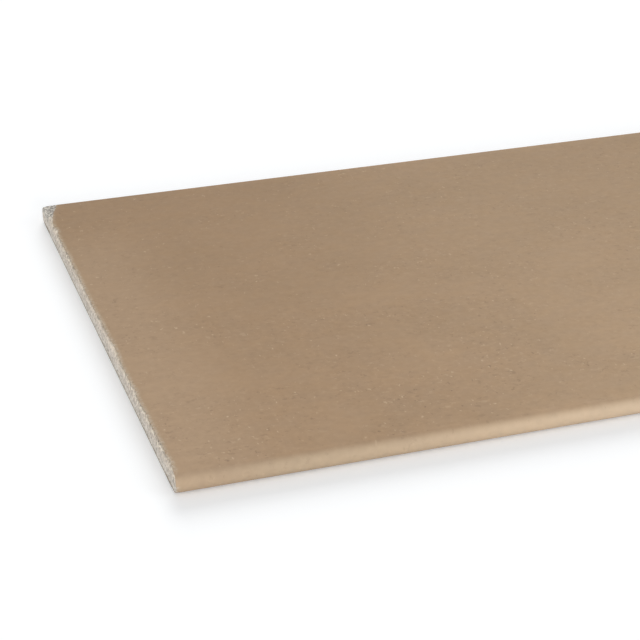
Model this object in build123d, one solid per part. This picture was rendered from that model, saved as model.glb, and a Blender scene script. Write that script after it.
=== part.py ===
"""Round-edged drywall sheet of the narrow kind: a gypsum core between two paper liners.

All sizes are in millimetres. The sheet lies on its back with its face up. X runs along the
length, Y across the width and Z through the thickness. The origin is the centre of the back.

The face paper is folded round both long edges and laps under the back. The back paper is glued
over those laps. The short ends are cut, so the core shows there between the two papers.
"""

import os

from build123d import *

# Sheet, as it is sold
sheet_length = 2000.0
sheet_width = 400.0
sheet_thickness = 12.5

# Papers
face_paper_thickness = 0.35
back_paper_thickness = 0.35
lap_width = 25.0  # from the long edge to where the folded face paper ends on the back
lap_cover = 13.0  # the part of that lap which the back paper is glued over

# The face paper and all that it wraps form one flat bar with fully rounded long edges.
# The back paper lies under that bar.
wrapped_height = sheet_thickness - back_paper_thickness
wrapped_middle = back_paper_thickness + wrapped_height / 2
lap_gap_width = sheet_width - 2 * lap_width  # across the back, between the two laps
back_paper_width = lap_gap_width + 2 * lap_cover

node_folder = "parts"


def rounded_bar(inset):
    """Cross-section of the wrapped bar, taken in by inset all round."""
    outline = SlotOverall(sheet_width - 2 * inset, wrapped_height - 2 * inset)
    return Pos(0, wrapped_middle) * outline


def strip(width, bottom, height):
    """Cross-section of a flat strip, centred across the sheet."""
    outline = Rectangle(width, height, align=(Align.CENTER, Align.MIN))
    return Pos(0, bottom) * outline


def gypsum_core_section():
    """The core fills the folded paper and comes down level with the laps between them."""
    filling = rounded_bar(face_paper_thickness)
    between_laps = strip(lap_gap_width, back_paper_thickness, wrapped_height / 2)
    return filling + between_laps


def face_paper_section():
    """One even layer over the face, round both long edges and back under as two laps."""
    all_round = rounded_bar(0) - rounded_bar(face_paper_thickness)
    between_laps = strip(lap_gap_width, back_paper_thickness, wrapped_height / 2)
    return all_round - between_laps


def back_paper_section():
    """A flat layer that closes the gap between the laps and covers their inner part."""
    return strip(back_paper_width, 0, back_paper_thickness)


def run_length(section):
    """The section carried along the whole sheet, from one cut end to the other."""
    cut_end = Plane.YZ.offset(-sheet_length / 2)
    return extrude(cut_end * section, amount=sheet_length)


sheet = {
    "gypsum_core": run_length(gypsum_core_section()),
    "face_paper": run_length(face_paper_section()),
    "back_paper": run_length(back_paper_section()),
}

os.makedirs(node_folder, exist_ok=True)
for name, piece in sheet.items():
    export_step(piece, f"{node_folder}/{name}.step")
    print(name, "volume", round(piece.volume), "mm3")
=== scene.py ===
# Drywall sheet with round, paper-wrapped long edges, lying face up on a pale floor.
# Sizes are in metres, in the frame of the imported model: X length, Y width, Z thickness.
# Three finely torn and crumbled pieces stand for the three plain solids of that model.

import math

import bmesh
import bpy
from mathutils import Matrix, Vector


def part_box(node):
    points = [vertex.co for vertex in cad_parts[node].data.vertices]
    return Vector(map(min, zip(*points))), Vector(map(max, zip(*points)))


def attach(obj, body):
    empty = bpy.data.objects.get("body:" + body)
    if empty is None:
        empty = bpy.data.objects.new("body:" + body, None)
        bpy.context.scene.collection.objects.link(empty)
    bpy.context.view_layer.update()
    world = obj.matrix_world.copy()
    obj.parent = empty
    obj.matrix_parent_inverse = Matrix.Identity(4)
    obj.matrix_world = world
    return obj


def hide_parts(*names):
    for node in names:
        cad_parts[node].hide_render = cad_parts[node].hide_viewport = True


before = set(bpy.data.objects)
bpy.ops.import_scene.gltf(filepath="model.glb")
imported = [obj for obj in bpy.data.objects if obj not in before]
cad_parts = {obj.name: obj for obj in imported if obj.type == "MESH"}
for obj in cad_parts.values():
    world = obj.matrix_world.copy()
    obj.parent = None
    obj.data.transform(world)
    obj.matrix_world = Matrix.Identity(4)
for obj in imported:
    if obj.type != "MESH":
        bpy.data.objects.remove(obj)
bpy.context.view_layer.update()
print("frame loaded with", sorted(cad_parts))

mm = 0.001
coreLow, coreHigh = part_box("gypsum_core")
faceLow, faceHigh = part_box("face_paper")
backLow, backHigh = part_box("back_paper")

halfLength = faceHigh.x
halfWidth = faceHigh.y
paperThickness = faceHigh.z - coreHigh.z
noseRadius = (faceHigh.z - faceLow.z) / 2  # outside of the round long edge
noseHeight = (faceHigh.z + faceLow.z) / 2  # middle of the round long edge
coreRadius = noseRadius - paperThickness  # inside of the paper, outside of the core
flatHalf = halfWidth - noseRadius  # where the flat face turns into the round edge
lapReach = 25 * mm  # from the long edge to where the folded face paper ends under the back
near = 0.01 * mm  # two points closer than this are one
sharpTurn = 50  # degrees; an edge that turns more than this stays crisp
noiseRange = (0.3, 0.7)  # nearly all of a noise lies between these
ends = {"shown": -1, "other": 1}  # the two cut ends, and the way along X that each one faces


# Work that every piece needs

def openForEdit(piece):
    bpy.context.view_layer.objects.active = piece
    bpy.ops.object.mode_set(mode="EDIT")


def closeEdit():
    bpy.ops.object.mode_set(mode="OBJECT")


def pick(piece, kind, wanted):
    # selects the vertices, edges or faces whose every corner is wanted
    bpy.ops.mesh.select_mode(type=kind)
    bpy.ops.mesh.select_all(action="DESELECT")
    mesh = bmesh.from_edit_mesh(piece.data)
    if kind == "VERT":
        for vertex in mesh.verts:
            vertex.select_set(wanted(vertex.co))
    else:
        for part in (mesh.edges if kind == "EDGE" else mesh.faces):
            part.select_set(all(wanted(vertex.co) for vertex in part.verts))
    bmesh.update_edit_mesh(piece.data)


def drawOut(x=0.0, y=0.0, z=0.0):
    # extrudes what is selected by one straight step
    bpy.ops.mesh.extrude_region_move(TRANSFORM_OT_translate={"value": (x, y, z)})


def drawRows(make, length):
    # the coarse rows of cells further in along the sheet, and then one long run
    for row in range(make["coarseRows"]):
        drawOut(x=make["coarseRow"])
    drawOut(x=length)


def spinNose(steps):
    # sweeps what is selected half a turn about the middle of the round edge
    middle = (0, -flatHalf, noseHeight)
    bpy.ops.mesh.spin(steps=steps, angle=-math.pi, center=middle, axis=(1, 0, 0))


def startGrid(name, centre, size, cells, turn=(0, 0, 0)):
    # a flat grid of cells at its size and place, with its place in its mesh
    bpy.ops.object.select_all(action="DESELECT")
    bpy.ops.mesh.primitive_grid_add(x_subdivisions=cells[0], y_subdivisions=cells[1], size=1)
    piece = bpy.context.object
    piece.name = name
    piece.data.name = name
    piece.scale = (size[0], size[1], 1)
    piece.rotation_euler = turn
    piece.location = centre
    bpy.ops.object.transform_apply(location=True, rotation=True, scale=True)
    return piece


def mirrorQuarter(piece):
    # one quarter becomes the whole sheet, its mirror images joined on to it
    mirror = piece.modifiers.new("otherQuarters", "MIRROR")
    mirror.use_axis = (True, True, False)
    mirror.merge_threshold = near
    bpy.ops.object.modifier_apply(modifier=mirror.name)


def facesOutwards():
    bpy.ops.mesh.select_all(action="SELECT")
    bpy.ops.mesh.normals_make_consistent(inside=False)


def mergeDoubles():
    bpy.ops.mesh.select_all(action="SELECT")
    bpy.ops.mesh.remove_doubles(threshold=near)


def weigh(piece, name, weightAt):
    # a vertex group with a weight from 0 to 1, worked out from each vertex's place
    group = piece.vertex_groups.new(name=name)
    for vertex in piece.data.vertices:
        weight = weightAt(vertex.co)
        if weight > 0:
            group.add([vertex.index], min(weight, 1), "REPLACE")


def roughen(piece, group, axis, way, size, depth, detail, contrast=1.0, middle=0.0):
    # moves the weighted vertices by a cloud texture, along an axis or their normal, either way
    texture = bpy.data.textures.new(piece.name + group, "CLOUDS")
    texture.noise_scale = size
    texture.noise_depth = detail
    texture.contrast = contrast
    push = piece.modifiers.new("rough", "DISPLACE")
    push.texture = texture
    push.texture_coords = "LOCAL"
    push.direction = axis
    push.vertex_group = group
    push.strength = way * depth
    push.mid_level = middle
    bpy.ops.object.modifier_apply(modifier=push.name)


def pull(piece, wanted, shift, reach, falloff):
    # drags the wanted vertices, and their neighbours within reach less and less
    openForEdit(piece)
    pick(piece, "VERT", wanted)
    bpy.ops.transform.translate(
        value=shift,
        use_proportional_edit=True,
        use_proportional_connected=False,
        proportional_edit_falloff=falloff,
        proportional_size=reach,
    )
    closeEdit()


def thicken(piece, way, group="", least=1.0):
    # gives a sheet of paper its thickness, on the side it faces (1) or the other side (-1),
    # and only the least share of it where the group has no weight
    wall = piece.modifiers.new("thickness", "SOLIDIFY")
    wall.thickness = paperThickness
    wall.offset = way
    wall.vertex_group = group
    wall.thickness_vertex_group = least
    bpy.ops.object.modifier_apply(modifier=wall.name)


def fade(distance, reach):
    # 1 at no distance, falling smoothly to 0 at reach
    left = max(0.0, 1 - max(0.0, distance) / reach)
    return left * left * (3 - 2 * left)


def fromEnd(co, side):
    return halfLength - side * co.x


def fromNearestEnd(co):
    return halfLength - abs(co.x)


def keepInside(piece, low, high):
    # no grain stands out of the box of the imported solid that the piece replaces
    for vertex in piece.data.vertices:
        for axis in range(3):
            vertex.co[axis] = min(max(vertex.co[axis], low[axis]), high[axis])


def keepWeights(piece, group, attribute):
    # copies a vertex group into an attribute that a material can read
    index = piece.vertex_groups[group].index
    values = []
    for vertex in piece.data.vertices:
        found = [g.weight for g in vertex.groups if g.group == index]
        values.append(found[0] if found else 0.0)
    piece.data.attributes.new(attribute, "FLOAT", "POINT").data.foreach_set("value", values)


def finishPiece(piece, material, node):
    # smooth shading apart from sharp turns, one material, and its place in the frame
    bpy.ops.object.select_all(action="DESELECT")
    piece.select_set(True)
    bpy.context.view_layer.objects.active = piece
    bpy.ops.object.shade_smooth_by_angle(angle=math.radians(sharpTurn))
    piece.data.materials.clear()
    piece.data.materials.append(material)
    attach(piece, "root")
    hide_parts(node)
    piece.data.calc_loop_triangles()
    print(piece.name, "has", len(piece.data.loop_triangles), "triangles")


# Work that every material needs

def startMaterial(name):
    material = bpy.data.materials.new(name)
    material.use_nodes = True
    tree = material.node_tree
    tree.nodes.clear()
    output = tree.nodes.new("ShaderNodeOutputMaterial")
    shader = tree.nodes.new("ShaderNodeBsdfPrincipled")
    tree.links.new(shader.outputs["BSDF"], output.inputs["Surface"])
    return material, tree, shader


def addNode(tree, kind, links=None, **settings):
    # a node with its settings, and links as a dictionary of its input to another node's output
    made = tree.nodes.new("ShaderNode" + kind)
    for setting, value in settings.items():
        if setting in made.inputs:
            made.inputs[setting].default_value = value
        else:
            setattr(made, setting, value)
    for target, source in (links or {}).items():
        tree.links.new(source, made.inputs[target])
    return made


def ownPlace(tree, axis):
    # the piece's own X, Y or Z at each point
    coordinates = addNode(tree, "TexCoord")
    return addNode(tree, "SeparateXYZ", {"Vector": coordinates.outputs["Object"]}).outputs[axis]


def keptWeight(tree, attribute):
    # what keepWeights has copied, at each point
    return addNode(tree, "Attribute", attribute_name=attribute).outputs["Fac"]


def grain(tree, size, detail=3.0, roughness=0.5, shift=(0, 0, 0)):
    # a noise between 0 and 1 whose blots have the wanted size along the piece's own X, Y and Z
    coordinates = addNode(tree, "TexCoord")
    stretch = tuple(1 / length for length in size)
    place = addNode(
        tree, "Mapping", {"Vector": coordinates.outputs["Object"]}, Scale=stretch, Location=shift
    )
    return addNode(
        tree,
        "TexNoise",
        {"Vector": place.outputs["Vector"]},
        Scale=1.0,
        Detail=detail,
        Roughness=roughness,
    ).outputs["Fac"]


def spread(tree, value, low, high, toLow=0.0, toHigh=1.0, course="LINEAR"):
    # maps the stretch from low to high of a value to another stretch
    return addNode(
        tree,
        "MapRange",
        {"Value": value},
        interpolation_type=course,
        **{"From Min": low, "From Max": high, "To Min": toLow, "To Max": toHigh},
    ).outputs["Result"]


def blots(tree, size, low, high, toLow=0.0, toHigh=1.0, **look):
    # a noise with one stretch of its values spread out; a narrow stretch gives crisp blots
    return spread(tree, grain(tree, size, **look), low, high, toLow, toHigh)


def ramp(tree, axis, low, high, toLow=0.0, toHigh=1.0, course="LINEAR"):
    # from one value to another between two places on the piece's own X, Y or Z
    return spread(tree, ownPlace(tree, axis), low, high, toLow, toHigh, course)


def tint(tree, amount, under, over, how="MIX"):
    # lays one colour or its link over another, by an amount or its link
    mix = addNode(tree, "Mix", data_type="RGBA", blend_type=how)
    for socket, value in ((0, amount), (6, under), (7, over)):
        if isinstance(value, (tuple, float, int)):
            mix.inputs[socket].default_value = value if socket == 0 else (*value, 1)
        else:
            tree.links.new(value, mix.inputs[socket])
    return mix.outputs[2]


def combine(tree, how, first, second=0.0):
    # one sum with two numbers or links
    made = addNode(tree, "Math", operation=how)
    for socket, value in enumerate((first, second)):
        if isinstance(value, (float, int)):
            made.inputs[socket].default_value = value
        else:
            tree.links.new(value, made.inputs[socket])
    return made.outputs[0]


def times(tree, first, second):
    return combine(tree, "MULTIPLY", first, second)


def relief(tree, height, depth, under=None):
    # a bump of that depth in metres, over another bump where one is given
    links = {"Height": height}
    if under is not None:
        links["Normal"] = under
    return addNode(tree, "Bump", links, Strength=1.0, Distance=depth).outputs["Normal"]


# Face paper

palePulp = (0.60, 0.46, 0.32)
darkPulp = (0.19, 0.125, 0.08)

faceMake = {
    # mesh
    "cell": 0.5 * mm,  # width of the fine cells across the sheet
    "fineRows": 8,  # rows of cells beside a cut end
    "fineRow": 0.4 * mm,
    "coarseRows": 8,  # rows further in, before the one long run
    "coarseRow": 1.1 * mm,
    "noseSteps": 36,
    "lapSteps": 19,
    # torn ends
    "tearing": (
        dict(size=22 * mm, depth=0.5 * mm, detail=2),  # the torn line wanders
        dict(size=2.4 * mm, depth=0.6 * mm, detail=4, contrast=1.6),  # its teeth
        dict(size=0.9 * mm, depth=0.4 * mm, detail=3, contrast=1.6),  # single fibres that stick out
    ),
    "tornPly": 3.0 * mm,  # how far in from the torn line the top ply is frayed
    "leastThickness": 0.35,  # share of the paper's thickness that is left on the torn line
    "noseCalm": 0.15,  # share of the tearing that reaches the round long edges and the laps
    "calmReach": 12 * mm,  # how far in from a long edge the tearing grows calmer
    "gripDepth": 2.5 * mm,  # the bit of the torn line that a deeper tear takes hold of
    "gripWidth": 0.6 * mm,
    # places where an end is torn back further: across, depth, reach and falloff
    "tears": {
        "shown": (
            (150 * mm, 1.4 * mm, 6 * mm, "ROOT"),
            (104 * mm, 0.8 * mm, 11 * mm, "SMOOTH"),
            (-4 * mm, 0.6 * mm, 20 * mm, "SMOOTH"),
            (-36 * mm, 1.0 * mm, 22 * mm, "ROOT"),
            (-95 * mm, 0.8 * mm, 9 * mm, "SMOOTH"),
            (-125 * mm, 0.5 * mm, 7 * mm, "SMOOTH"),
            (-158 * mm, 0.5 * mm, 22 * mm, "SMOOTH"),
            (-182 * mm, 0.7 * mm, 10 * mm, "SMOOTH"),
            (70 * mm, 0.4 * mm, 30 * mm, "SMOOTH"),
        ),
        "other": (
            (-140 * mm, 1.6 * mm, 24 * mm, "ROOT"),
            (-60 * mm, 0.8 * mm, 10 * mm, "SMOOTH"),
            (38 * mm, 1.2 * mm, 16 * mm, "ROOT"),
            (120 * mm, 0.6 * mm, 30 * mm, "SMOOTH"),
        ),
    },
    # the knocked far corner of the shown end
    "cornerDepth": 9.5 * mm,
    "cornerReach": 42 * mm,
    "cornerFull": 3 * mm,  # torn back by the full depth up to here from the end
    "cornerAbove": 1 * mm,  # and down to here above the middle of the round edge
    "cornerDown": 6 * mm,  # from there it is torn back less and less
    # brown, in clouds and with cooler blushes
    "clouds": dict(size=(0.07, 0.05, 0.05), low=0.3, high=0.7),
    "browns": ((0.369, 0.255, 0.160), (0.390, 0.268, 0.168)),
    "blushes": dict(
        size=(16 * mm, 13 * mm, 13 * mm), detail=2.0, shift=(5, 8, 2), low=0.35, high=0.65
    ),
    "blushColour": (0.985, 1.0, 1.03),
    # paler on the round long edges, partly rubbed paper and partly a painted highlight of the light
    # on them, brighter away from the shown end
    "onward": dict(axis="X", low=-0.97, high=-0.77, course="SMOOTHSTEP"),
    "rubFull": 0.9 * mm,  # how far in from the long edge the rubbing and painted highlight are full
    "rubLater": 0.9 * mm,  # how much further out it lies on the upper half, onward
    "rubRise": 4 * mm,  # the height in which that comes in
    "rubColours": ((0.447, 0.344, 0.240), (0.516, 0.389, 0.270)),  # at the shown end, and onward
    "besideFrom": 6 * mm,  # the flat face is painted paler too, as the highlight spreads onto it, starting so far in from where it turns
    "besideTo": 1 * mm,  # and full so far past that
    "besideColour": (1.07, 1.07, 1.07),
    # painted light: paler beside the cut ends, as if the paper there caught more light, but not at
    # the knocked corner
    "handledFrom": 75 * mm,  # in from the end
    "handledTo": 15 * mm,
    "handledAmount": 0.62,  # how much of that colour shows
    "handledSpared": dict(
        axis="Y", low=80 * mm, high=165 * mm, toLow=1.0, toHigh=0.0, course="SMOOTHSTEP"
    ),
    "handledColour": (0.430, 0.312, 0.212),
    # painted light and shade across the face: darkest a little way in from the shown end, brighter
    # beyond it and towards the near long edge
    "beyond": dict(axis="X", low=-0.91, high=-0.66, course="SMOOTHSTEP"),
    "bleachColours": ((0.94, 0.92, 0.89), (1.05, 1.065, 1.07)),
    "toSide": dict(axis="Y", low=0.17, high=-0.17, toLow=0.922, toHigh=1.08),
    # fibres and mottling, in patches, fewer on the rubbed and painted-highlight round edges,
    # stronger towards the near edge
    "patches": dict(  # their strength from patch to patch
        size=(40 * mm, 35 * mm, 35 * mm), detail=2.0, shift=(1, 2, 9),
        low=0.37, high=0.63, toLow=0.35, toHigh=1.4,
    ),
    "rubbedCalm": 0.5,  # what is left of it where the paper is rubbed and painted with the highlight
    "fibres": dict(size=(3.6 * mm, 3.2 * mm, 3.2 * mm), roughness=0.55),
    "fibreStrength": dict(axis="Y", low=0.10, high=-0.12, toLow=0.22, toHigh=1.45),
    "fibreColour": (0.95, 0.95, 0.955),
    "mottle": dict(size=(7 * mm, 6 * mm, 6 * mm), detail=1.0, shift=(3, 1, 6), low=0.3, high=0.7),
    "mottleColour": (1.06, 1.06, 1.055),
    # flecks of waste paper: size, shift of the pattern, rarity, colour and strength
    "flecks": (
        ((5.0 * mm, 3.8 * mm, 3.8 * mm), (4, 8, 0), 0.62, darkPulp, 0.13),
        ((5.0 * mm, 3.8 * mm, 3.8 * mm), (9, 2, 6), 0.64, palePulp, 0.11),
        ((2.9 * mm, 4.4 * mm, 4.4 * mm), (7, 3, 0), 0.665, palePulp, 0.30),
        ((2.9 * mm, 4.4 * mm, 4.4 * mm), (2, 9, 4), 0.665, darkPulp, 0.24),
    ),
    "fleckDetail": 2.0,
    "fleckRoughness": 0.6,
    "fleckEdge": 0.055,  # how soft their outline is
    "fleckStrength": dict(axis="Y", low=0.10, high=-0.12, toLow=1.1, toHigh=1.5),
    # the frayed ply beside the torn line, palest at the line itself
    "teeth": dict(
        size=(1.8 * mm, 1.3 * mm, 1.3 * mm), detail=4.0, roughness=0.65,
        low=0.36, high=0.64, toLow=0.25, toHigh=1.15,
    ),
    "plyFalloff": 1.2,
    "plySpared": dict(axis="Y", low=155 * mm, high=182 * mm, toLow=1.0, toHigh=0.3),
    "plyGrain": dict(size=(1.5 * mm, 1.2 * mm, 1.2 * mm), low=0.38, high=0.62),
    "plyColours": ((0.38, 0.31, 0.235), (0.64, 0.57, 0.47)),
    # surface
    "sheen": 0.35,
    "roughness": (0.72, 0.88),
    "felt": dict(size=(0.6 * mm, 0.5 * mm, 0.5 * mm), roughness=0.6),
    "fibreDepth": 0.04 * mm,
    "feltDepth": 0.02 * mm,
}


def rubAndHighlightEdges(tree, colour):
    # paler on the round long edges and just beside them, partly rubbed paper and partly a painted
    # highlight of the light on the round edges; gives the colour and where that lies
    make = faceMake
    onward = ramp(tree, **make["onward"])
    upper = ramp(tree, "Z", noseHeight, noseHeight + make["rubRise"], 0.0, make["rubLater"])
    out = combine(tree, "ABSOLUTE", ownPlace(tree, "Y"))
    out = combine(tree, "SUBTRACT", out, times(tree, onward, upper))
    beside = (flatHalf - make["besideFrom"], flatHalf + make["besideTo"])
    beside = times(tree, spread(tree, out, *beside, course="SMOOTHSTEP"), onward)
    colour = tint(tree, beside, colour, make["besideColour"], "MULTIPLY")
    # painted highlight on the round long edges, mixed with real rubbing
    rubbedAndHighlit = spread(tree, out, flatHalf, halfWidth - make["rubFull"], course="SMOOTHSTEP")
    wornAndHighlit = tint(tree, onward, *make["rubColours"])
    return tint(tree, rubbedAndHighlit, colour, wornAndHighlit), rubbedAndHighlit


def paintEndGlare(tree, colour):
    # paints light: the paper beside the cut ends comes out paler
    make = faceMake
    along = combine(tree, "ABSOLUTE", ownPlace(tree, "X"))
    stretch = (halfLength - make["handledFrom"], halfLength - make["handledTo"])
    endGlare = spread(tree, along, *stretch, 0.0, make["handledAmount"], "SMOOTHSTEP")
    endGlare = times(tree, endGlare, ramp(tree, **make["handledSpared"]))
    return tint(tree, endGlare, colour, make["handledColour"])


def fleckPaper(tree, colour, fibres, rubbedAndHighlit):
    make = faceMake
    calm = spread(tree, rubbedAndHighlit, 0.0, 1.0, 1.0, make["rubbedCalm"])
    patchy = times(tree, blots(tree, **make["patches"]), calm)
    streaky = times(tree, patchy, ramp(tree, **make["fibreStrength"]))
    streaks = times(tree, spread(tree, fibres, *noiseRange), streaky)
    colour = tint(tree, streaks, colour, make["fibreColour"], "MULTIPLY")
    colour = tint(tree, blots(tree, **make["mottle"]), colour, make["mottleColour"], "MULTIPLY")
    flecked = times(tree, patchy, ramp(tree, **make["fleckStrength"]))
    for size, shift, rarity, pulp, strength in make["flecks"]:
        fleck = grain(tree, size, make["fleckDetail"], make["fleckRoughness"], shift)
        fleck = spread(tree, fleck, rarity, rarity + make["fleckEdge"], 0.0, strength)
        colour = tint(tree, times(tree, fleck, flecked), colour, pulp)
    return colour


def frayPaper(tree, colour):
    make = faceMake
    torn = combine(tree, "POWER", keptWeight(tree, "tornShare"), make["plyFalloff"])
    frayed = times(tree, torn, blots(tree, **make["teeth"]))
    frayed = times(tree, frayed, ramp(tree, **make["plySpared"]))
    ply = tint(tree, blots(tree, **make["plyGrain"]), *make["plyColours"])
    return tint(tree, frayed, colour, ply)


def facePaperMaterial():
    make = faceMake
    material, tree, shader = startMaterial("facePaper")
    colour = tint(tree, blots(tree, **make["clouds"]), *make["browns"])
    colour = tint(tree, blots(tree, **make["blushes"]), colour, make["blushColour"], "MULTIPLY")
    colour, rubbedAndHighlit = rubAndHighlightEdges(tree, colour)
    colour = paintEndGlare(tree, colour)
    # painted light: a pool of light, brighter towards the near long edge and away from the shown
    # end
    lightFalloff = tint(tree, ramp(tree, **make["beyond"]), *make["bleachColours"])
    colour = tint(tree, 1.0, colour, lightFalloff, "MULTIPLY")
    colour = tint(tree, 1.0, colour, ramp(tree, **make["toSide"]), "MULTIPLY")
    fibres = grain(tree, **make["fibres"])
    colour = fleckPaper(tree, colour, fibres, rubbedAndHighlit)
    colour = frayPaper(tree, colour)
    tree.links.new(colour, shader.inputs["Base Color"])
    shader.inputs["Specular IOR Level"].default_value = make["sheen"]
    roughness = spread(tree, fibres, *noiseRange, *make["roughness"])
    tree.links.new(roughness, shader.inputs["Roughness"])
    normal = relief(tree, fibres, make["fibreDepth"])
    normal = relief(tree, grain(tree, **make["felt"]), make["feltDepth"], normal)
    tree.links.new(normal, shader.inputs["Normal"])
    return material


def calmToEdge(co, below):
    # full on the flat face, calmer towards the long edges, and as given below their middle
    if co.z <= noseHeight:
        return below
    return 1 - fade(halfWidth - abs(co.y), faceMake["calmReach"]) * (1 - faceMake["noseCalm"])


def makeFacePaper():
    make = faceMake
    fineDepth = make["fineRows"] * make["fineRow"]
    marginDepth = fineDepth + make["coarseRows"] * make["coarseRow"]
    inside = coreHigh.z  # the paper is drawn on the core and thickened outwards
    under = inside - 2 * coreRadius
    # one quarter of the sheet: the fine end strip, then coarser rows, then one long run
    piece = startGrid(
        "facePaper",
        (-halfLength + fineDepth / 2, -flatHalf / 2, inside),
        (fineDepth, flatHalf),
        (make["fineRows"], round(flatHalf / make["cell"])),
    )
    openForEdit(piece)
    pick(piece, "EDGE", lambda co: co.x > -halfLength + fineDepth - near)
    drawRows(make, halfLength - marginDepth)
    # round the long edge and back under the core as a lap
    pick(piece, "EDGE", lambda co: co.y < -flatHalf + near)
    spinNose(make["noseSteps"])
    pick(piece, "EDGE", lambda co: co.y > -flatHalf - near and co.z < under + near)
    for step in range(make["lapSteps"]):
        drawOut(y=(lapReach - noseRadius) / make["lapSteps"])
    closeEdit()
    mirrorQuarter(piece)
    openForEdit(piece)
    mergeDoubles()
    facesOutwards()
    closeEdit()

    tornIn = lambda co: fromNearestEnd(co) / make["tornPly"]
    weigh(piece, "tornEdge", lambda co: calmToEdge(co, 1.0) * (1 - tornIn(co)))
    weigh(piece, "body", tornIn)
    for end, side in ends.items():
        calm = lambda co: calmToEdge(co, make["noseCalm"])
        weigh(piece, end, lambda co: fade(fromEnd(co, side), marginDepth) * calm(co))
        for rough in make["tearing"]:
            roughen(piece, end, "X", -side, **rough)
        for across, depth, reach, falloff in make["tears"][end]:
            grip = lambda co: (
                fromEnd(co, side) < make["gripDepth"]
                and abs(co.y - across) < make["gripWidth"]
                and co.z > noseHeight
            )
            pull(piece, grip, (-side * depth, 0, 0), reach, falloff)
    tearCorner(piece)
    thicken(piece, 1, "body", make["leastThickness"])
    keepInside(piece, faceLow, faceHigh)
    keepWeights(piece, "tornEdge", "tornShare")
    finishPiece(piece, facePaperMaterial(), "face_paper")


def tearCorner(piece):
    # the paper of the knocked corner is torn back over the top, and less down the round edge
    make = faceMake
    for vertex in piece.data.vertices:
        onward = max(0.0, vertex.co.x + halfLength - make["cornerFull"])
        inward = max(0.0, flatHalf - vertex.co.y)
        left = max(0.0, 1 - math.hypot(onward, inward) / make["cornerReach"])
        height = fade(noseHeight + make["cornerAbove"] - vertex.co.z, make["cornerDown"])
        vertex.co.x += make["cornerDepth"] * left * left * height


# Gypsum core

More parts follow.
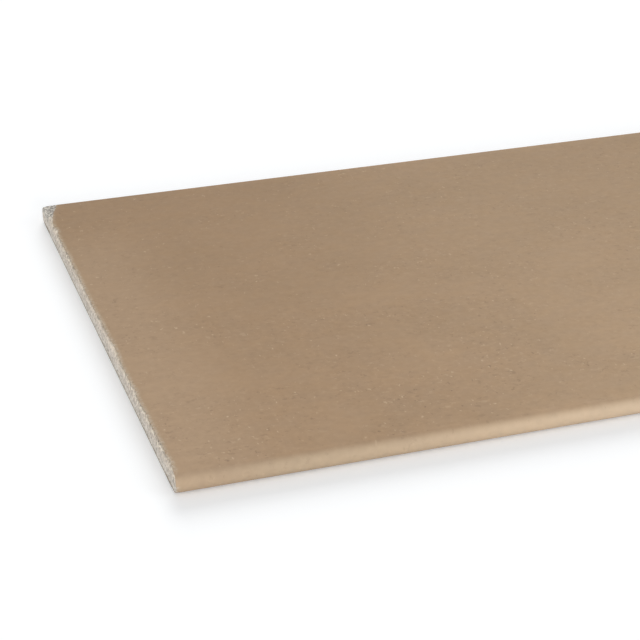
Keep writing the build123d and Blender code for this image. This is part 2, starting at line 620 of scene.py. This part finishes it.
coreMake = {
    # mesh
    "cell": 0.5 * mm,
    "rowsUp": 24,  # cells through the thickness, an even number
    "noseSteps": 32,
    "fineRows": 7,
    "fineRow": 0.35 * mm,
    "coarseRows": 5,
    "coarseRow": 1.2 * mm,
    # broken ends
    "chipping": (
        dict(size=9 * mm, depth=0.25 * mm, detail=1),  # the cut end is uneven in the large
        dict(size=1.8 * mm, depth=0.35 * mm, detail=3, contrast=1.5),  # chips of a few grains
    ),
    "chipReach": 3 * mm,
    "arris": dict(size=1.5 * mm, depth=0.9 * mm, detail=3, contrast=1.8),  # how it has crumbled
    "arrisReach": 2.1 * mm,  # down the end
    "arrisStretch": 1.4,  # how much further that reaches along the sheet
    "arrisBelow": 0.1,  # its share on the lower half
    "pits": dict(size=0.7 * mm, depth=0.2 * mm, detail=2),  # single pits and grains
    "pitReach": 2.5 * mm,
    # the knocked far corner of the shown end
    "crush": dict(size=2.6 * mm, depth=0.9 * mm, detail=3, contrast=1.8, middle=0.95),
    "crushReach": 17 * mm,
    "bruiseReach": 34 * mm,  # how far its dust and dents show
    "knockForce": 1.3,  # above 1, so that its middle is fully crushed and bruised
    "knockIn": 2 * mm,  # where its middle is, in from the long edge
    "dentGrip": 1.5 * mm,
    "dentDepth": 0.2 * mm,
    "dentReach": 4 * mm,
    # warm grey, in patches, with pale lumps and specks and dark pores painted with the shade inside
    # them
    "patches": dict(size=(9 * mm, 9 * mm, 5 * mm), low=0.35, high=0.65),
    "greys": ((0.525, 0.464, 0.382), (0.645, 0.578, 0.49)),
    "lumps": dict(
        size=(2.2 * mm, 2.2 * mm, 2.0 * mm), detail=2.0, roughness=0.6, low=0.42, high=0.60
    ),
    "lumpColour": (0.88, 0.81, 0.71),
    "specks": dict(
        size=(1.1 * mm, 1.1 * mm, 1.1 * mm), roughness=0.6, shift=(6, 2, 5),
        low=0.48, high=0.64, toHigh=0.6,
    ),
    "speckColour": (0.95, 0.90, 0.80),
    "pores": dict(
        size=(1.8 * mm, 1.8 * mm, 1.6 * mm), detail=4.0, roughness=0.6, shift=(4, 1, 8),
        low=0.54, high=0.68, toHigh=0.9,
    ),
    "poreColour": (0.35, 0.315, 0.272),
    # a little cooler and paler towards the back of the sheet, warmer under the face
    "height": dict(axis="Z", low=2 * mm, high=10 * mm),
    "heightColours": ((1.05, 1.065, 1.105), (1.045, 0.995, 0.97)),
    "waistHeight": 6.5 * mm,  # darkest here
    "waistReach": 3.5 * mm,
    "waistDarkness": 0.94,
    # along the upper arris, pale crumbs painted as highlight on upward facets, between dark breaks
    # painted with their shade
    "crumbReach": 5.0 * mm,  # how far down the end they are seen
    "crumbInward": 4 * mm,  # and how far along the sheet
    "crumbsBelow": 0.15,  # their share on the lower half
    "crumbGrain": dict(size=(2.0 * mm, 2.4 * mm, 2.0 * mm), detail=1.0, shift=(9, 4, 2)),
    "crumbStretch": (0.52, 0.60),
    "crumbSpared": dict(axis="Y", low=110 * mm, high=150 * mm, toLow=1.0, toHigh=0.35),
    "crumbColour": (0.99, 0.89, 0.745),
    "breakStretch": (0.48, 0.38, 0.0, 0.38),
    "breakColour": (0.37, 0.32, 0.26),
    "waveLength": 0.25,  # from one place where they are thickest to the next
    "waveSlant": 0.06,  # how much of X is added to Y, so that the two ends differ
    "waveStretch": (-0.6, 0.8),
    "crumbAmounts": (0.9, 2.0),  # where they are thinnest and thickest
    "breakAmounts": (0.2, 1.8),
    # the knocked corner is bruised and dusty, palest at the very end
    "dust": dict(
        size=(2.2 * mm, 2.2 * mm, 2.0 * mm), detail=2.0, roughness=0.55, shift=(1, 6, 3),
        low=0.46, high=0.60,
    ),
    "bruiseColours": ((0.285, 0.263, 0.232), (0.72, 0.67, 0.60)),
    "tipFrom": 0.5 * mm,
    "tipTo": 3 * mm,
    "tipAmount": 0.6,
    "tipDust": (0.4, 1.3),
    "tipColour": (0.90, 0.85, 0.77),
    "bruiseStretch": (0.02, 0.5),
    "bruiseHeight": dict(axis="Z", low=5 * mm, high=10 * mm, toLow=0.1, toHigh=1.0),
    # surface
    "sheen": 0.2,
    "roughness": 0.95,
    "crystals": dict(size=(0.9 * mm, 0.9 * mm, 0.9 * mm), detail=5.0, roughness=0.65),
    "crystalDepth": 0.5 * mm,
}


def paintArrisCrumbLight(tree, colour):
    # painted light and shade: pale crumbs for lit facets, dark breaks for shade
    make = coreMake
    across = times(tree, ownPlace(tree, "X"), make["waveSlant"])
    across = combine(tree, "ADD", ownPlace(tree, "Y"), across)
    wave = combine(tree, "SINE", times(tree, across, 2 * math.pi / make["waveLength"]))
    arris = keptWeight(tree, "crumbShare")
    highlit = times(tree, arris, spread(tree, wave, *make["waveStretch"], *make["crumbAmounts"]))
    shaded = times(tree, arris, spread(tree, wave, *make["waveStretch"], *make["breakAmounts"]))
    crumbGrain = grain(tree, **make["crumbGrain"])
    crumbHighlights = times(tree, spread(tree, crumbGrain, *make["crumbStretch"]), highlit)
    crumbHighlights = times(tree, crumbHighlights, ramp(tree, **make["crumbSpared"]))
    colour = tint(tree, crumbHighlights, colour, make["crumbColour"])
    breakShades = times(tree, spread(tree, crumbGrain, *make["breakStretch"]), shaded)
    return tint(tree, breakShades, colour, make["breakColour"])


def bruiseCorner(tree, colour):
    make = coreMake
    dust = blots(tree, **make["dust"])
    bruised = tint(tree, dust, *make["bruiseColours"])
    tip = (make["tipFrom"] - halfLength, make["tipTo"] - halfLength)
    tip = ramp(tree, "X", *tip, make["tipAmount"], 0.0)
    tip = times(tree, tip, spread(tree, dust, 0.0, 1.0, *make["tipDust"]))
    bruised = tint(tree, tip, bruised, make["tipColour"])
    bruise = spread(tree, keptWeight(tree, "bruise"), *make["bruiseStretch"])
    bruise = times(tree, bruise, ramp(tree, **make["bruiseHeight"]))
    return tint(tree, bruise, colour, bruised)


def gypsumMaterial():
    make = coreMake
    material, tree, shader = startMaterial("gypsum")
    colour = tint(tree, blots(tree, **make["patches"]), *make["greys"])
    colour = tint(tree, blots(tree, **make["lumps"]), colour, make["lumpColour"])
    colour = tint(tree, blots(tree, **make["specks"]), colour, make["speckColour"])
    cast = tint(tree, ramp(tree, **make["height"]), *make["heightColours"])
    colour = tint(tree, 1.0, colour, cast, "MULTIPLY")
    fromWaist = combine(tree, "SUBTRACT", ownPlace(tree, "Z"), make["waistHeight"])
    fromWaist = combine(tree, "ABSOLUTE", fromWaist)
    waist = spread(tree, fromWaist, 0.0, make["waistReach"], make["waistDarkness"], 1.0)
    colour = tint(tree, 1.0, colour, waist, "MULTIPLY")
    # painted shade inside the pores
    colour = tint(tree, blots(tree, **make["pores"]), colour, make["poreColour"])
    colour = paintArrisCrumbLight(tree, colour)
    colour = bruiseCorner(tree, colour)
    tree.links.new(colour, shader.inputs["Base Color"])
    shader.inputs["Specular IOR Level"].default_value = make["sheen"]
    shader.inputs["Roughness"].default_value = make["roughness"]
    normal = relief(tree, grain(tree, **make["crystals"]), make["crystalDepth"])
    tree.links.new(normal, shader.inputs["Normal"])
    return material


def fromSurface(co):
    # how deep a point lies under the outside of the core
    return coreRadius - math.hypot(max(0.0, abs(co.y) - flatHalf), co.z - noseHeight)


def upperHalf(co, below):
    return 1 if co.z > noseHeight else below


def makeGypsumCore():
    make = coreMake
    low = coreHigh.z - 2 * coreRadius  # where the laps of the face paper lie against the core
    lapGap = halfWidth - lapReach
    fineDepth = make["fineRows"] * make["fineRow"]
    marginDepth = fineDepth + make["coarseRows"] * make["coarseRow"]
    # the cut end of one quarter stands as a grid, seen from the end of the sheet
    piece = startGrid(
        "gypsumCore",
        (-halfLength, -flatHalf / 2, noseHeight),
        (2 * coreRadius, flatHalf),
        (make["rowsUp"], round(flatHalf / make["cell"])),
        (0, math.radians(90), 0),
    )
    openForEdit(piece)
    # the half disc under the round edge is swept by the upper half of the side edge
    pick(piece, "EDGE", lambda co: co.y < -flatHalf + near and co.z > noseHeight - near)
    spinNose(make["noseSteps"])
    mergeDoubles()
    # between the laps the core comes down level with them
    pick(piece, "EDGE", lambda co: co.z < low + near and co.y > -lapGap - make["cell"] / 2)
    drawOut(z=coreLow.z - low)
    facesOutwards()
    # the end is drawn out along the sheet
    pick(piece, "FACE", lambda co: True)
    for row in range(make["fineRows"]):
        drawOut(x=make["fineRow"])
    drawRows(make, halfLength - marginDepth)
    # the quarter stays open on the two sides where its mirror images join on
    pick(piece, "FACE", lambda co: co.x > -near)
    bpy.ops.mesh.delete(type="FACE")
    pick(piece, "FACE", lambda co: co.y > -near)
    bpy.ops.mesh.delete(type="FACE")
    closeEdit()
    mirrorQuarter(piece)
    openForEdit(piece)
    mergeDoubles()
    facesOutwards()
    closeEdit()

    for end, side in ends.items():
        weigh(piece, end, lambda co: fade(fromEnd(co, side), make["chipReach"]))
        for rough in make["chipping"]:
            roughen(piece, end, "X", -side, **rough)
    weigh(
        piece,
        "arris",
        lambda co: fade(fromNearestEnd(co), make["arrisReach"] * make["arrisStretch"])
        * fade(fromSurface(co), make["arrisReach"])
        * upperHalf(co, make["arrisBelow"]),
    )
    roughen(piece, "arris", "NORMAL", -1, **make["arris"])
    aboveLaps = lambda co: 1 if co.z > low + near else 0
    weigh(piece, "grains", lambda co: fade(fromNearestEnd(co), make["pitReach"]) * aboveLaps(co))
    roughen(piece, "grains", "NORMAL", -1, **make["pits"])
    crushCorner(piece)
    keepInside(piece, coreLow, coreHigh)
    weigh(
        piece,
        "crumbled",
        lambda co: fade(fromNearestEnd(co), make["crumbInward"])
        * fade(fromSurface(co), make["crumbReach"])
        * upperHalf(co, make["crumbsBelow"]),
    )
    keepWeights(piece, "crumbled", "crumbShare")
    keepWeights(piece, "bruised", "bruise")
    finishPiece(piece, gypsumMaterial(), "gypsum_core")


def crushCorner(piece):
    # the bare core of the knocked corner has burst and crumbled
    make = coreMake
    corner = Vector((-halfLength, halfWidth - make["knockIn"], coreHigh.z))
    knocked = lambda co, reach: make["knockForce"] * fade((co - corner).length, reach)
    weigh(piece, "bruised", lambda co: knocked(co, make["bruiseReach"]))
    weigh(piece, "crushed", lambda co: knocked(co, make["crushReach"]))
    roughen(piece, "crushed", "NORMAL", -1, **make["crush"])
    grip = lambda co: (
        co.x < -halfLength + make["dentGrip"]
        and co.y > flatHalf
        and co.z > coreHigh.z - make["dentGrip"]
    )
    pull(piece, grip, (0, 0, -make["dentDepth"]), make["dentReach"], "SMOOTH")


# Back paper

backMake = {
    "cell": 1 * mm,
    "rows": 12,
    "row": 0.4 * mm,
    "nibble": dict(size=2.5 * mm, depth=0.06 * mm, detail=4),  # its cut ends are hardly torn
    # grey-brown, in clouds, with fibres and with pale and dark flecks
    "clouds": dict(size=(0.05, 0.05, 0.05), low=0.3, high=0.7),
    "browns": ((0.315, 0.255, 0.195), (0.345, 0.280, 0.212)),
    "fibres": dict(size=(2.0 * mm, 0.4 * mm, 0.4 * mm), detail=4.0, roughness=0.65),
    "fibreAmount": 0.6,
    "fibreColour": (0.80, 0.80, 0.81),
    "paleFlecks": dict(
        size=(1.8 * mm, 0.8 * mm, 0.8 * mm), detail=1.0, shift=(3, 3, 0),
        low=0.66, high=0.74, toHigh=0.5,
    ),
    "paleColour": (0.55, 0.50, 0.43),
    "darkFlecks": dict(
        size=(1.2 * mm, 0.7 * mm, 0.7 * mm), detail=1.0, shift=(8, 2, 5),
        low=0.66, high=0.74, toHigh=0.5,
    ),
    "darkColour": (0.14, 0.11, 0.09),
    # the cut ends show its paler inside
    "inside": dict(
        size=(1.6 * mm, 1.6 * mm, 1.6 * mm), roughness=0.6, shift=(4, 4, 2), low=0.40, high=0.60
    ),
    "insideColours": ((0.50, 0.455, 0.395), (0.88, 0.83, 0.76)),
    # surface
    "sheen": 0.3,
    "roughness": (0.84, 0.95),
    "fibreDepth": 0.04 * mm,
}


def backPaperMaterial():
    make = backMake
    material, tree, shader = startMaterial("backPaper")
    colour = tint(tree, blots(tree, **make["clouds"]), *make["browns"])
    fibres = grain(tree, **make["fibres"])
    streaks = spread(tree, fibres, *noiseRange, 0.0, make["fibreAmount"])
    colour = tint(tree, streaks, colour, make["fibreColour"], "MULTIPLY")
    colour = tint(tree, blots(tree, **make["paleFlecks"]), colour, make["paleColour"])
    colour = tint(tree, blots(tree, **make["darkFlecks"]), colour, make["darkColour"])
    inside = tint(tree, blots(tree, **make["inside"]), *make["insideColours"])
    colour = tint(tree, keptWeight(tree, "cutShare"), colour, inside)
    tree.links.new(colour, shader.inputs["Base Color"])
    shader.inputs["Specular IOR Level"].default_value = make["sheen"]
    roughness = spread(tree, fibres, *noiseRange, *make["roughness"])
    tree.links.new(roughness, shader.inputs["Roughness"])
    tree.links.new(relief(tree, fibres, make["fibreDepth"]), shader.inputs["Normal"])
    return material


def makeBackPaper():
    make = backMake
    depth = make["rows"] * make["row"]
    piece = startGrid(
        "backPaper",
        (-halfLength + depth / 2, -backHigh.y / 2, backHigh.z),
        (depth, backHigh.y),
        (make["rows"], round(backHigh.y / make["cell"])),
    )
    openForEdit(piece)
    pick(piece, "EDGE", lambda co: co.x > -halfLength + depth - near)
    drawOut(x=halfLength - depth)
    closeEdit()
    mirrorQuarter(piece)
    for end, side in ends.items():
        weigh(piece, end, lambda co: fade(fromEnd(co, side), depth))
        roughen(piece, end, "X", -side, **make["nibble"])
    openForEdit(piece)
    facesOutwards()
    closeEdit()
    weigh(piece, "cutEdge", lambda co: 1 - fromNearestEnd(co) / make["row"])
    thicken(piece, -1)
    keepInside(piece, backLow, backHigh)
    keepWeights(piece, "cutEdge", "cutShare")
    finishPiece(piece, backPaperMaterial(), "back_paper")


# Floor, light and camera

# where each light comes from, its width in degrees, and the level it gives a surface that faces it
lamps = {
    "behind": ((0.56, 2.0, 1.0), 30, 0.517),
    "behindLow": ((0.5, 2.0, 0.6), 26, 0.327),
    "front": ((0.1, -1.0, 0.19), 18, 0.435),
    "left": ((-1.0, -0.30, 0.34), 34, 0.268),
    "right": ((1.0, -0.6, 0.5), 40, 0.194),
}
skyLevel = 0.50
floorMake = {"half": 60.0, "drop": 0.05 * mm, "colour": (0.788, 0.80, 0.812, 1), "lift": 0.272}


def addLights():
    # far lamps, each as wide as a soft box; only the one in front shows as a sheen
    for name, (source, width, level) in lamps.items():
        light = bpy.data.lights.new(name, "SUN")
        light.energy = level * math.pi
        light.angle = math.radians(width)
        lamp = bpy.data.objects.new(name, light)
        bpy.context.scene.collection.objects.link(lamp)
        lamp.rotation_euler = Vector(source).to_track_quat("Z", "Y").to_euler()
        lamp.visible_glossy = name == "front"
    print("lights:", ", ".join(lamps))


def seenDirectly(tree):
    # 1 for rays from the camera, or by way of gloss or glass, and 0 for rays that light things
    path = addNode(tree, "LightPath")
    rays = combine(tree, "MAXIMUM", path.outputs["Is Camera Ray"], path.outputs["Is Glossy Ray"])
    return combine(tree, "MAXIMUM", rays, path.outputs["Is Transmission Ray"])


def addSky():
    world = bpy.data.worlds.new("studio")
    bpy.context.scene.world = world
    world.use_nodes = True
    tree = world.node_tree
    tree.nodes.clear()
    output = tree.nodes.new("ShaderNodeOutputWorld")
    strength = spread(tree, seenDirectly(tree), 0, 1, skyLevel, 1.0)
    background = addNode(tree, "Background", {"Strength": strength})
    tree.links.new(background.outputs[0], output.inputs["Surface"])


def addFloor():
    bpy.ops.object.select_all(action="DESELECT")
    centre = (0, 0, backLow.z - floorMake["drop"])
    bpy.ops.mesh.primitive_plane_add(size=2 * floorMake["half"], location=centre)
    floor = bpy.context.object
    floor.name = "floor"
    material = bpy.data.materials.new("floor")
    material.use_nodes = True
    tree = material.node_tree
    tree.nodes.clear()
    output = tree.nodes.new("ShaderNodeOutputMaterial")
    matt = addNode(tree, "BsdfDiffuse", Color=floorMake["colour"])
    lift = times(tree, seenDirectly(tree), floorMake["lift"])
    glow = addNode(tree, "Emission", {"Strength": lift})
    both = addNode(tree, "AddShader")
    tree.links.new(matt.outputs[0], both.inputs[0])
    tree.links.new(glow.outputs[0], both.inputs[1])
    tree.links.new(both.outputs[0], output.inputs["Surface"])
    floor.data.materials.append(material)


cameraMake = {
    "place": (-1.1874, -1.0176, 0.5289),
    "down": 26.706,  # degrees below level
    "turn": 18.266,  # degrees from straight across the sheet towards its far end
    "lens": 101.38,
    "sensor": 36,
}


def addCamera():
    camera = bpy.data.cameras.new("camera")
    camera.lens = cameraMake["lens"]
    camera.sensor_width = cameraMake["sensor"]
    holder = bpy.data.objects.new("camera", camera)
    bpy.context.scene.collection.objects.link(holder)
    holder.location = cameraMake["place"]
    tilt = math.radians(90 - cameraMake["down"])  # unturned, it looks straight down
    holder.rotation_euler = (tilt, 0, math.radians(-cameraMake["turn"]))
    bpy.context.scene.camera = holder


makeGypsumCore()
makeFacePaper()
makeBackPaper()
addFloor()
addSky()
addLights()
addCamera()
bpy.context.scene.view_settings.view_transform = "Standard"
print("scene ready")
